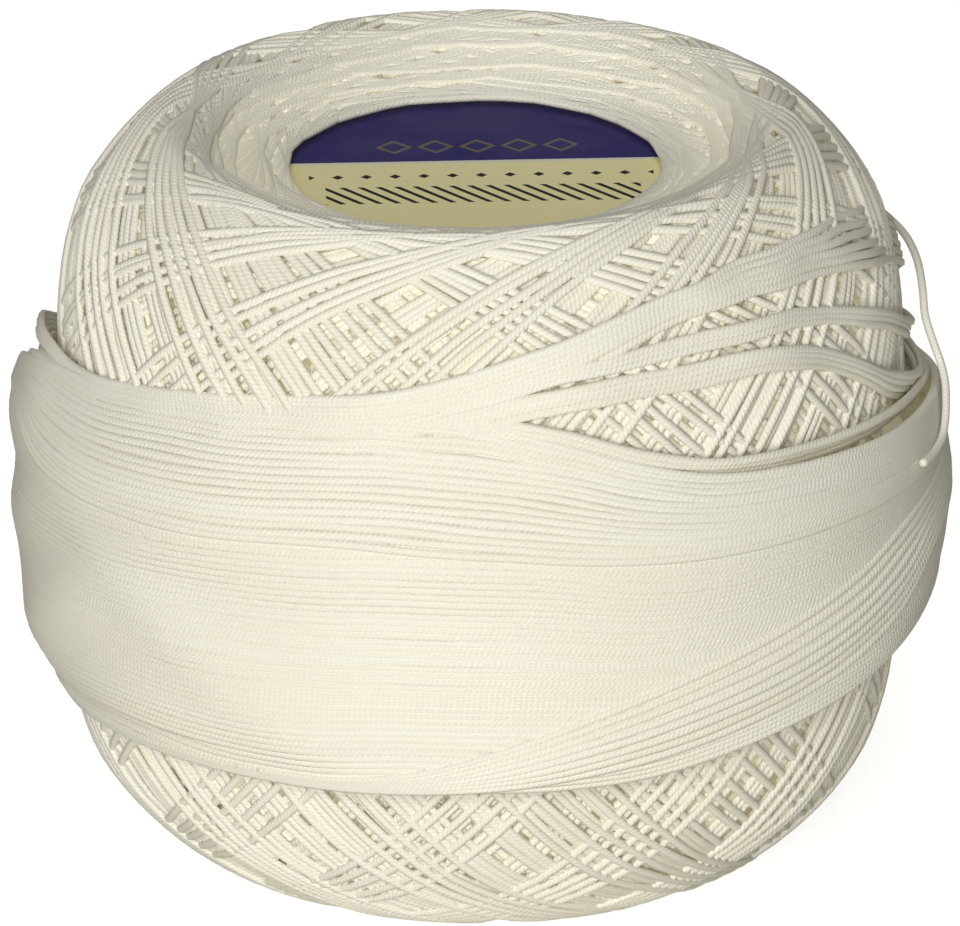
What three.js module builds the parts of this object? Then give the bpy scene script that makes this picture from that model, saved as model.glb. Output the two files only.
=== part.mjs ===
// A ball of fine crochet cotton: one wound body with a raised band round its middle,
// a hollow in its crown that holds a round card, and a short loose end on its right.
// Millimetres, +Z up. The front faces -Y and the right side faces +X.
// The origin is the centre of the ring that the ball rests on.

import * as THREE from "three";

// Driving sizes. Heights inside the ball are measured from its mid-height.
const BALL_HEIGHT = 39.0;
const MID_HEIGHT = BALL_HEIGHT / 2;
const THREAD = 0.42;
const GAP = 0.3;

// The rounded outline that the turns build up, without the band.
const OUTLINE = { radius: 22.1, half_height: 21.05, roundness: 3.74, end_angle: 50, rows: 31 };

// The crown turns inward from the outline to the lip, then down the hollow's wall.
const HOLLOW = { lip_radius: 10.0, lip_height: 17.35, wall_radius: 11.0, floor_height: 15.8 };
const CROWN_ROWS = [
  { radius: 14.8, height: MID_HEIGHT },
  { radius: 13.3, height: 19.15 },
  { radius: 11.8, height: 18.5 },
  { radius: 10.6, height: 17.9 },
  { radius: HOLLOW.lip_radius, height: HOLLOW.lip_height },
  { radius: HOLLOW.wall_radius, height: 16.6 },
  { radius: HOLLOW.wall_radius, height: HOLLOW.floor_height },
  { radius: 5.5, height: HOLLOW.floor_height },
  { radius: 0, height: HOLLOW.floor_height },
];

// The underside has a flat ring to rest on and a shallow dimple inside it.
const REST_RING = { inner_radius: 12.4, outer_radius: 15.4 };
const DIMPLE = { radius: 9.8, height: -17.9 };
const UNDERSIDE_ROWS = [
  { radius: 0, height: DIMPLE.height },
  { radius: 5.5, height: DIMPLE.height },
  { radius: DIMPLE.radius, height: DIMPLE.height },
  { radius: 11.2, height: -18.7 },
  { radius: REST_RING.inner_radius, height: -MID_HEIGHT },
  { radius: REST_RING.outer_radius, height: -MID_HEIGHT },
];

const COLUMNS = 112;

// Every group of turns lies in a tilted plane. Toward is the side where it climbs highest,
// in degrees from the front, positive to the right. Shift moves the plane along its normal.
const BAND = { tilt: 1, toward: -90, shift: -1.4, half_width: 9.0, rise: 2.4, edge: 6 };

const LATTICE = { count: 13, tilt: 60, shift: 0, half_width: 1.5, rise: 0.45, edge: 2 };

const BUNDLES = [
  { name: "right_to_front_high", tilt: 39, toward: 36, shift: -0.3, half_width: 1.5, rise: 0.45, edge: 2 },
  { name: "right_to_front_low", tilt: 27, toward: 30, shift: 2.8, half_width: 1.6, rise: 0.45, edge: 2 },
  { name: "left_band_rope", tilt: 12, toward: 60, shift: 7.2, half_width: 1.6, rise: 0.5, edge: 2 },
  { name: "lower_right_fan", tilt: 17, toward: 90, shift: -7.4, half_width: 1.7, rise: 0.45, edge: 2 },
  { name: "back_cross", tilt: 33, toward: -140, shift: 0.5, half_width: 1.6, rise: 0.45, edge: 2 },
  { name: "back_low_cross", tilt: 21, toward: 150, shift: -4.5, half_width: 1.6, rise: 0.45, edge: 2 },
];

const LABEL = { radius: 10.6, thickness: 0.4, sides: 72 };

// The loose end leaves the turns at the back right, lies along the shoulder and drops
// over the band's edge to its cut tip. Heights here are measured from the resting ring.
const LOOSE_END = { sides: 8, steps: 44 };
const LOOSE_END_ROUTE = [
  { x: 11.8, y: 20.5, z: 27.5 },
  { x: 13.7, y: 18.9, z: 28.2 },
  { x: 15.8, y: 16.9, z: 28.9 },
  { x: 17.7, y: 14.9, z: 29.5 },
  { x: 19.3, y: 12.6, z: 30.0 },
  { x: 20.6, y: 10.1, z: 30.3 },
  { x: 21.7, y: 7.5, z: 30.4 },
  { x: 22.6, y: 4.8, z: 30.3 },
  { x: 23.1, y: 2.3, z: 29.9 },
  { x: 23.3, y: 0.3, z: 29.1 },
  { x: 23.4, y: -0.9, z: 28.0 },
  { x: 23.8, y: -1.5, z: 26.8 },
  { x: 24.2, y: -2.1, z: 25.8 },
  { x: 24.4, y: -3.1, z: 25.1 },
  { x: 24.4, y: -4.3, z: 24.4 },
  { x: 24.3, y: -5.4, z: 23.8 },
  { x: 24.1, y: -6.5, z: 23.4 },
  { x: 23.8, y: -7.6, z: 23.3 },
  { x: 23.4, y: -8.8, z: 23.3 },
  { x: 22.9, y: -10.0, z: 23.4 },
];

const rad = THREE.MathUtils.degToRad;

function finish(color, roughness) {
  return new THREE.MeshStandardMaterial({ color, roughness, metalness: 0 });
}

function outlinePoint(angle) {
  const { radius, half_height, roundness } = OUTLINE;
  const across = (Math.cos(angle) / radius) ** roundness;
  const upward = (Math.abs(Math.sin(angle)) / half_height) ** roundness;
  const reach = (across + upward) ** (-1 / roundness);
  return { radius: reach * Math.cos(angle), height: reach * Math.sin(angle) };
}

function outlineRows() {
  const rows = [];
  for (let i = 0; i < OUTLINE.rows; i++) {
    const share = i / (OUTLINE.rows - 1);
    rows.push(outlinePoint(rad(OUTLINE.end_angle * (2 * share - 1))));
  }
  return rows;
}

// How far a group of turns raises the surface at a point.
function turnsRise(turns, point) {
  const lean = rad(turns.tilt);
  const side = rad(turns.toward);
  const outward = point.x * Math.sin(side) - point.y * Math.cos(side);
  const offPlane = point.z * Math.cos(lean) - outward * Math.sin(lean) - turns.shift;
  return turns.rise * Math.exp(-((Math.abs(offPlane) / turns.half_width) ** turns.edge));
}

function latticeRise(point) {
  let rise = 0;
  for (let i = 0; i < LATTICE.count; i++) {
    const toward = (360 * i) / LATTICE.count;
    rise = Math.max(rise, turnsRise({ ...LATTICE, toward }, point));
  }
  return rise;
}

// The relief fades out before the crown and the resting ring.
function surfaceRise(point) {
  const fade = THREE.MathUtils.smoothstep(Math.hypot(point.x, point.y), REST_RING.outer_radius, 19);
  const under = Math.max(turnsRise(BAND, point), latticeRise(point));
  const over = Math.max(...BUNDLES.map((bundle) => turnsRise(bundle, point)));
  return fade * (under + over);
}

function woundThread() {
  const rows = [...UNDERSIDE_ROWS, ...outlineRows(), ...CROWN_ROWS];
  const profile = rows.map((row) => new THREE.Vector2(row.radius, row.height));
  const geometry = new THREE.LatheGeometry(profile, COLUMNS);
  geometry.rotateX(Math.PI / 2);
  const points = geometry.attributes.position;
  const normals = geometry.attributes.normal;
  const point = new THREE.Vector3();
  const normal = new THREE.Vector3();
  for (let i = 0; i < points.count; i++) {
    point.fromBufferAttribute(points, i);
    normal.fromBufferAttribute(normals, i);
    point.addScaledVector(normal, surfaceRise(point));
    points.setXYZ(i, point.x, point.y, point.z);
  }
  geometry.computeVertexNormals();
  const mesh = new THREE.Mesh(geometry, finish(0xeee8d8, 0.85));
  mesh.name = "wound_thread";
  mesh.position.z = MID_HEIGHT;
  return mesh;
}

function labelDisc() {
  const geometry = new THREE.CylinderGeometry(LABEL.radius, LABEL.radius, LABEL.thickness, LABEL.sides);
  geometry.rotateX(Math.PI / 2);
  const mesh = new THREE.Mesh(geometry, finish(0xb9ad86, 0.3));
  mesh.name = "label_disc";
  mesh.position.z = MID_HEIGHT + HOLLOW.floor_height + GAP + LABEL.thickness / 2;
  return mesh;
}

function looseEnd() {
  const corners = [];
  for (let i = 0; i < LOOSE_END.sides; i++) {
    const turn = (2 * Math.PI * i) / LOOSE_END.sides;
    corners.push(new THREE.Vector2(Math.cos(turn), Math.sin(turn)).multiplyScalar(THREAD / 2));
  }
  const route = LOOSE_END_ROUTE.map((point) => new THREE.Vector3(point.x, point.y, point.z));
  const geometry = new THREE.ExtrudeGeometry(new THREE.Shape(corners), {
    steps: LOOSE_END.steps,
    extrudePath: new THREE.CatmullRomCurve3(route),
  });
  const mesh = new THREE.Mesh(geometry, finish(0xf4efe2, 0.85));
  mesh.name = "loose_end";
  return mesh;
}

const ball = new THREE.Group();
ball.add(woundThread(), labelDisc(), looseEnd());

export default ball;
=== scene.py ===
"""A ball of fine crochet cotton, wound turn by turn over a growing height map.

Every turn is a tilted loop. The turns are laid in the order in which such a ball is wound: each one
slides into the nearest groove, is pulled taut over what lies under it, and then becomes part of the
ground for the next. What later turns hide is left out, and what still shows becomes tube mesh.
Lengths are in metres and angles in degrees, unless a name says otherwise.
"""
import logging
import math
from dataclasses import dataclass, field
from typing import Callable, Sequence

import bpy
import numpy as np
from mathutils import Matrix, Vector
from mathutils.bvhtree import BVHTree


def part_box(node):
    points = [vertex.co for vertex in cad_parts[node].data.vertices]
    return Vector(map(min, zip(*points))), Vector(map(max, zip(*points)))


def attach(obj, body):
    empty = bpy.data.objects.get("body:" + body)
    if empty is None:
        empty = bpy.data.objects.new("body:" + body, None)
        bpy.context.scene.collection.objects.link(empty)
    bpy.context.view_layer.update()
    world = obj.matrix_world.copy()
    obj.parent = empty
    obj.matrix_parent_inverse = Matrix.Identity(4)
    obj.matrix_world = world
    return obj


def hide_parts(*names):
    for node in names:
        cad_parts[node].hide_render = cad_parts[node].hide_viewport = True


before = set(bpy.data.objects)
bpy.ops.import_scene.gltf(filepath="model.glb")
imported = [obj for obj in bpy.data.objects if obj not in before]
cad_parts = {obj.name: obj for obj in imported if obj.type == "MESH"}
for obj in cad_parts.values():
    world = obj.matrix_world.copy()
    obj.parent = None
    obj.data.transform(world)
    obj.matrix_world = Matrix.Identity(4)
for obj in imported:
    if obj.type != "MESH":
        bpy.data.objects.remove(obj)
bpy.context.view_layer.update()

log = logging.getLogger("thread_ball")
logging.basicConfig(level=logging.INFO, format="%(name)s: %(message)s")

MM = 0.001
SEED = 20
BODY = "root"


@dataclass(frozen=True)
class Thread:
    """The cotton thread's sizes.

    Attributes:
        diameter: width of one thread.
        flat: share of the radius that the tube's corners keep outwards, where turns press on it.
        broad: share that they keep sideways, where a six-sided tube would be too narrow.
        sides: corners of the tube's section.
        firm_half: half of the width that stays when threads press side by side.
        give: share of its radius that a thread keeps where another presses on it.
        twist_pitch: spacing of the ply ridges along the thread.
        plies: ridges round the thread.
    """

    diameter: float = 0.42 * MM
    flat: float = 0.95
    broad: float = 1.2
    sides: int = 6
    firm_half: float = 0.16 * MM
    give: float = 0.86
    twist_pitch: float = 0.29 * MM
    plies: int = 3

    @property
    def radius(self) -> float:
        """Half of the diameter."""
        return self.diameter / 2


def latitude_of(heading: np.ndarray) -> np.ndarray:
    """Latitudes of unit directions, in radians."""
    return np.arcsin(np.clip(heading[..., 2], -1, 1))


def directions(latitude: np.ndarray, azimuth: np.ndarray) -> np.ndarray:
    """Unit directions at latitudes and azimuths in radians, with a further axis of three."""
    flat = np.cos(latitude)
    return np.stack([flat * np.cos(azimuth), flat * np.sin(azimuth), np.sin(latitude)], axis=-1)


@dataclass(frozen=True)
class Outline:
    """The solid's own rounded outline, which the finished winding has to fill.

    Attributes:
        radius: widest reach from the axis.
        half_height: reach upwards and downwards.
        roundness: exponent of the outline, 2 for an ellipse and more for a squarer one.
    """

    radius: float = 22.1 * MM
    half_height: float = 21.05 * MM
    roundness: float = 3.74

    def reach(self, latitude: np.ndarray) -> np.ndarray:
        """Distance from the centre to the outline at each latitude.

        The outline is where (across / radius)^n + (up / half_height)^n is 1.

        Args:
            latitude: angles above the ball's middle, in radians.

        Returns:
            The distances, in the shape of the input.
        """
        across = (np.cos(latitude) / self.radius) ** self.roundness
        upward = (np.abs(np.sin(latitude)) / self.half_height) ** self.roundness
        return (across + upward) ** (-1 / self.roundness)


@dataclass(frozen=True)
class TurnedForm:
    """A form of revolution, alike above and below, that stands for the ball at one stage.

    Attributes:
        rows: distance from the axis and height above the middle, in millimetres, from the
            lip of the hollow outwards.
    """

    rows: tuple[tuple[float, float], ...]

    def reach(self, latitude: np.ndarray) -> np.ndarray:
        """Distance from the centre to the form at each latitude, between its rows."""
        across, upward = np.array(self.rows).T * MM
        turned = np.arctan2(upward, across)[::-1]
        away = np.hypot(across, upward)[::-1]
        return np.interp(np.abs(latitude), turned, away)


@dataclass(frozen=True)
class Growth:
    """How the ball grows while the crossing passes are wound.

    Attributes:
        start: the hidden form that they begin on.
        finish: the form that they fill.
        play: how far a turn may stand above the form grown so far.
    """

    start: TurnedForm = TurnedForm((
        (8.8, 16.55), (10.6, 16.55), (11.4, 16.6), (12.8, 16.8), (14.6, 16.6), (16.6, 15.2),
        (18.4, 12.9),
        (19.6, 9.0), (19.9, 5.0), (19.9, 0.0),
    ))
    finish: TurnedForm = TurnedForm((
        (9.4, 16.8), (10.0, 16.95), (10.6, 17.15), (11.8, 17.6), (13.3, 18.2), (14.8, 18.8),
        (16.1, 19.05),
        (17.1, 18.6), (18.0, 17.85), (19.5, 16.2), (20.7, 14.4), (21.5, 11.6), (21.8, 7.0), (21.8, 0.0),
    ))
    play: float = 0.35 * MM

    def press(self, reach: np.ndarray, latitude: np.ndarray, share: float) -> np.ndarray:
        """Presses a turn into the ball where it would stand above the form grown so far.

        Args:
            reach: the turn's distances from the centre.
            latitude: its latitudes, in radians.
            share: how far the growth has come, from 0 to 1.

        Returns:
            The pressed distances.
        """
        begin = self.start.reach(latitude)
        return squeeze(reach, begin + share * (self.finish.reach(latitude) - begin), self.play)


def squeeze(reach: np.ndarray, limit: np.ndarray, play: float) -> np.ndarray:
    """Presses distances down where they pass a limit: the excess becomes play * tanh(excess / play)."""
    excess = reach - limit
    return np.where(excess > 0, limit + play * np.tanh(excess / play), reach)


class SolidSkin:
    """The surface of the solid of the wound thread, as a reach from the ball's centre."""

    def __init__(self, node: bpy.types.Object, centre: Vector, step: float = 3.0,
                 top: float = 60.0) -> None:
        """Feels the solid from outside in a grid of directions.

        Args:
            node: the solid.
            centre: the ball's centre.
            step: degrees between the directions.
            top: highest latitude, in degrees.
        """
        self.step, self.top = math.radians(step), math.radians(top)
        mesh = node.data
        tree = BVHTree.FromPolygons([v.co for v in mesh.vertices], [p.vertices for p in mesh.polygons])
        latitudes = np.arange(-self.top, self.top + 1e-6, self.step)
        azimuths = np.arange(0, 2 * math.pi - 1e-6, self.step)
        self.grid = np.array([[self.feel(tree, centre, a, b) for b in azimuths] for a in latitudes])

    def feel(self, tree: BVHTree, centre: Vector, latitude: float, azimuth: float) -> float:
        """Distance from the centre to the outermost surface in one direction."""
        flat, outside = math.cos(latitude), 50 * MM
        heading = Vector((flat * math.cos(azimuth), flat * math.sin(azimuth), math.sin(latitude)))
        found = tree.ray_cast(centre + heading * outside, -heading)[0]
        return (found - centre).length

    def reach(self, heading: np.ndarray) -> np.ndarray:
        """Distance of the surface in each direction, blended between the nearest four."""
        latitude = latitude_of(heading)
        azimuth = np.arctan2(heading[..., 1], heading[..., 0]) % (2 * math.pi)
        row = np.clip((latitude + self.top) / self.step, 0, len(self.grid) - 1.001)
        column = azimuth / self.step
        r, c = row.astype(int), column.astype(int) % self.grid.shape[1]
        fr, fc = row - r, column - column.astype(int)
        beside = (c + 1) % self.grid.shape[1]
        low = self.grid[r, c] * (1 - fc) + self.grid[r, beside] * fc
        high = self.grid[r + 1, c] * (1 - fc) + self.grid[r + 1, beside] * fc
        return low * (1 - fr) + high * fr


@dataclass(frozen=True)
class BandBulk:
    """The hidden inner turns of the raised middle band.

    Attributes:
        outline: the solid's outline.
        rise: how far the form stands above the outline in the band.
        foot: how far its edges lie below the outline.
        taper: width of the slopes at its edges, wide enough for turns to rest on.
        bend: how much the slopes bend, with 1 for straight ones.
    """

    outline: Outline = Outline()
    rise: float = 1.5 * MM
    foot: float = 1.1 * MM
    taper: float = 2.8 * MM
    bend: float = 1.2

    def reach(self, heading: np.ndarray, surface: np.ndarray,
              way: Sequence[tuple[float, float, float]]) -> np.ndarray:
        """Distance from the centre to the form in each direction.

        It is the outline plus rise, less (rise + foot) * (1 - d / taper)^bend where the distance
        d inside the band's nearer edge is under the taper.

        Args:
            heading: unit directions, with an axis of three last.
            surface: distance of the solid's surface in each direction.
            way: azimuths and the heights of the band's edges there, as a bundle has them.

        Returns:
            One distance for each direction.
        """
        azimuths, low, high = np.array(way).T
        around = np.degrees(np.arctan2(heading[..., 0], -heading[..., 1]))
        outline = self.outline.reach(latitude_of(heading))
        middle = closed_curve(azimuths, (low + high) / 2, around, 360.0) * MM
        half = closed_curve(azimuths, (high - low) / 2, around, 360.0) * MM
        inside = half - np.abs(surface * heading[..., 2] - middle)
        drop = np.clip(1 - inside / self.taper, 0, None) ** self.bend
        return outline + self.rise - (self.rise + self.foot) * drop


@dataclass(frozen=True)
class Course:
    """The way one turn runs round the ball, as unit directions from its centre.

    Attributes:
        along: one direction for each sample of the closed loop, anticlockwise from above.
        side: unit directions square to them and to the loop, towards its upper side.
    """

    along: np.ndarray
    side: np.ndarray

    @classmethod
    def of(cls, along: np.ndarray) -> "Course":
        """The course along unit directions that close up."""
        forward = np.roll(along, -1, axis=0) - np.roll(along, 1, axis=0)
        side = np.cross(along, forward)
        return cls(along, side / np.linalg.norm(side, axis=1)[:, None])

    @classmethod
    def leaning(cls, tilt: float, toward: float, samples: int) -> "Course":
        """A great circle that climbs highest on one side.

        Args:
            tilt: its lean.
            toward: side where it is highest, from the front, positive to the right.
            samples: number of directions.

        Returns:
            The course.
        """
        lean, side = math.radians(tilt), math.radians(toward)
        level = np.array([math.cos(side), math.sin(side), 0.0])
        climb = np.array([
            -math.cos(lean) * math.sin(side), math.cos(lean) * math.cos(side), -math.sin(lean)])
        around = np.linspace(0, 2 * math.pi, samples, endpoint=False)[:, None]
        return cls.of(np.cos(around) * level + np.sin(around) * climb)

    @classmethod
    def through(cls, azimuths: np.ndarray, heights: np.ndarray, samples: int,
                skin: SolidSkin) -> "Course":
        """A loop that passes heights at azimuths, with a smooth curve between them.

        Args:
            azimuths: rising angles from the front, positive to the right, in degrees.
            heights: heights above the ball's middle there.
            samples: number of directions.
            skin: the solid's surface, which turns a height into a latitude.

        Returns:
            The course.
        """
        around = np.linspace(-180, 180, samples, endpoint=False)
        height = closed_curve(azimuths, heights, around, 360.0)
        turned = np.radians(around)
        rough_reach = 24.5 * MM
        latitude = np.arcsin(height / rough_reach)
        for _ in range(3):
            flat = np.cos(latitude)
            along = np.stack([flat * np.sin(turned), -flat * np.cos(turned), np.sin(latitude)], axis=-1)
            latitude = np.arcsin(np.clip(height / skin.reach(along), -0.9, 0.9))
        return cls.of(along)

    def heading(self, lift: np.ndarray) -> np.ndarray:
        """Unit directions at angles to the side of the course.

        Args:
            lift: the angles in radians, with the samples as the last axis.

        Returns:
            The directions, with a further axis of three.
        """
        return np.cos(lift)[..., None] * self.along + np.sin(lift)[..., None] * self.side


def closed_curve(at: np.ndarray, values: np.ndarray, where: np.ndarray, period: float) -> np.ndarray:
    """A smooth closed curve through values.

    Between two values it is the cubic that has their slopes, and a value's slope is that of the
    line between its neighbours.

    Args:
        at: rising places of the values, less than a period apart in all.
        values: the values.
        where: places to read the curve at.
        period: length of the closed round.

    Returns:
        The curve's values.
    """
    at = np.concatenate([at[-2:] - period, at, at[:2] + period])
    values = np.concatenate([values[-2:], values, values[:2]])
    slopes = np.gradient(values, at)
    slopes[1:-1] = (values[2:] - values[:-2]) / (at[2:] - at[:-2])
    low = at[1]
    where = low + (where - low) % period
    left = np.clip(np.searchsorted(at, where, side="right") - 1, 0, len(at) - 2)
    width = at[left + 1] - at[left]
    t = (where - at[left]) / width
    start = values[left] * (1 + 2 * t) * (1 - t) ** 2 + slopes[left] * width * t * (1 - t) ** 2
    end = values[left + 1] * (3 - 2 * t) * t ** 2 + slopes[left + 1] * width * t ** 2 * (t - 1)
    return start + end


@dataclass
class Turn:
    """One laid turn.

    Attributes:
        course: the way it runs.
        reach: distance of its centreline from the ball's centre, along the loop.
        lift: its angle to the side of the course, along the loop, in radians.
        tone: a number from 0 to 1 that tints the turn.
        group: name of the piece that it belongs to.
        stride: samples to each ring of the tube.
    """

    course: Course
    reach: np.ndarray
    lift: np.ndarray
    tone: float
    group: str
    stride: int


@dataclass
class HeightMap:
    """The ball's surface so far, as a reach from its centre in every direction.

    Rows run in latitude and columns in azimuth.

    Attributes:
        cell: angle between cells, in radians.
        top: highest latitude that the map holds, in radians.
        reach: the surface's distance from the centre.
    """

    cell: float = math.radians(0.24)
    top: float = math.radians(78)
    reach: np.ndarray = field(init=False)

    def __post_init__(self) -> None:
        """Makes an empty map."""
        self.rows = int(2 * self.top / self.cell)
        self.columns = int(2 * math.pi / self.cell)
        self.reach = np.zeros(self.rows * self.columns)

    def cells(self, heading: np.ndarray) -> np.ndarray:
        """Numbers of the cells that the directions fall in."""
        latitude = latitude_of(heading)
        azimuth = np.arctan2(heading[..., 1], heading[..., 0])
        row = np.clip(((latitude + self.top) / self.cell).astype(np.int64), 0, self.rows - 1)
        column = ((azimuth + math.pi) / self.cell).astype(np.int64) % self.columns
        return row * self.columns + column

    def headings(self) -> np.ndarray:
        """Direction of every cell's middle."""
        latitude = (np.arange(self.rows) + 0.5) * self.cell - self.top
        azimuth = (np.arange(self.columns) + 0.5) * self.cell - math.pi
        latitude, azimuth = np.meshgrid(latitude, azimuth, indexing="ij")
        return directions(latitude, azimuth).reshape(-1, 3)

    def cover(self, reach: np.ndarray) -> None:
        """Raises the map to a form that has one distance for each cell."""
        self.reach = np.maximum(self.reach, reach)

    def read(self, heading: np.ndarray) -> np.ndarray:
        """Distance of the surface in each direction."""
        return self.reach[self.cells(heading)]

    def lean_for(self, toward: float, clear: float) -> float:
        """Lean of a level-centred loop whose highest point keeps a distance from the axis.

        Args:
            toward: side where the loop is highest, from the front, positive to the right.
            clear: that distance.

        Returns:
            The first lean at which reach * cos(lean) is under the distance.
        """
        least, most, step = 44.0, 66.0, 0.1
        side = math.radians(toward)
        lean = np.radians(np.arange(least, most, step))
        flat = np.cos(lean)
        high = np.stack([flat * math.sin(side), -flat * math.cos(side), np.sin(lean)], axis=-1)
        from_axis = self.read(high) * flat
        return math.degrees(lean[np.argmax(from_axis < clear)])

    def raise_to(self, heading: np.ndarray, reach: np.ndarray) -> None:
        """Raises the map where a thread's top stands above it."""
        np.maximum.at(self.reach, self.cells(heading).ravel(), reach.ravel())


@dataclass(frozen=True)
class CrossingPass:
    """One round of steep turns whose high side travels once round the ball.

    Attributes:
        name: name of the pass and of its piece.
        turns: how many turns it has.
        clear: distance that they keep from the axis.
        stray: how much more than that some bunches keep.
        grown: share of the ball's growth at the first and last turn.
        bunch: turns that lie close together.
        tight: their spacing, as a share of the even one.
        start: high side of the first turn, from the front, positive to the right.
        hole_shift: how far the hollow's middle lies towards the front.
        hole_aside: how far it lies towards the left.
        slide: how far a turn may slip sideways into a groove.
        stride: samples to each ring of the tube.
    """

    name: str
    turns: int
    clear: float
    stray: float
    grown: tuple[float, float]
    bunch: int
    tight: float = 0.6
    start: float = -77.0
    hole_shift: float = 0.85 * MM
    hole_aside: float = 0.3 * MM
    slide: float = 0.2 * MM
    stride: int = 4

    def wind(self, winder: "Winder") -> None:
        """Lays the turns.

        A turn's place is its number over the count, drawn towards the first of its bunch. Its
        distance from the axis drifts twice round, so that the lip becomes low ridges.

        Args:
            winder: lays each turn.
        """
        rng = winder.rng
        shake, slow, sudden = 0.07, 0.65, 0.35
        number = np.arange(self.turns)
        first = number - number % self.bunch
        place = (first + (number - first) * self.tight + rng.normal(0, shake, self.turns)) / self.turns
        drift = 0.5 + 0.5 * np.sin(2 * math.pi * (2 * place + rng.random()))
        stray = (slow * drift + sudden * rng.random(self.turns)[first]) * self.stray
        for share, off in zip(place, stray):
            toward = self.start + 360 * share
            side = math.radians(toward)
            clear = self.clear + off + self.hole_shift * math.cos(side) - self.hole_aside * math.sin(side)
            course = Course.leaning(winder.surface.lean_for(toward, clear), toward, winder.samples)
            grown = self.grown[0] + share * (self.grown[1] - self.grown[0])
            winder.lay(course, self.slide, self.name, self.stride, grown)


@dataclass(frozen=True)
class Bundle:
    """Turns that run side by side, spreading and closing up as they go.

    Attributes:
        name: what a winder would call it.
        piece: the piece that its turns belong to.
        turns: how many turns it has.
        way: azimuth from the front in degrees, positive to the right, and the heights of the
            lowest and the highest turn there, in millimetres above the ball's middle.
        downwards: whether the highest turn is laid first.
        waver: how far a turn's height strays, slowly, along its way.
        slide: how far a turn may slip sideways into a groove.
        stand: how far its turns may stand out of the solid.
        stride: samples to each ring of the tube.
    """

    name: str
    piece: str
    turns: int
    way: tuple[tuple[float, float, float], ...]
    downwards: bool = False
    waver: float = 0.02 * MM
    slide: float = 0.07 * MM
    stand: float = 0.12 * MM
    stride: int = 4

    def wind(self, winder: "Winder") -> None:
        """Lays the turns between the lowest and the highest."""
        azimuths, low, high = np.array(sorted(self.way)).T
        shares = (np.arange(self.turns) + 0.5) / self.turns
        for share in shares[::-1] if self.downwards else shares:
            heights = (low + share * (high - low)) * MM
            heights = heights + winder.rng.normal(0, self.waver, len(heights))
            course = Course.through(azimuths, heights, winder.samples, winder.skin)
            winder.lay(course, self.slide, self.piece, self.stride, stand=self.stand)


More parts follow.
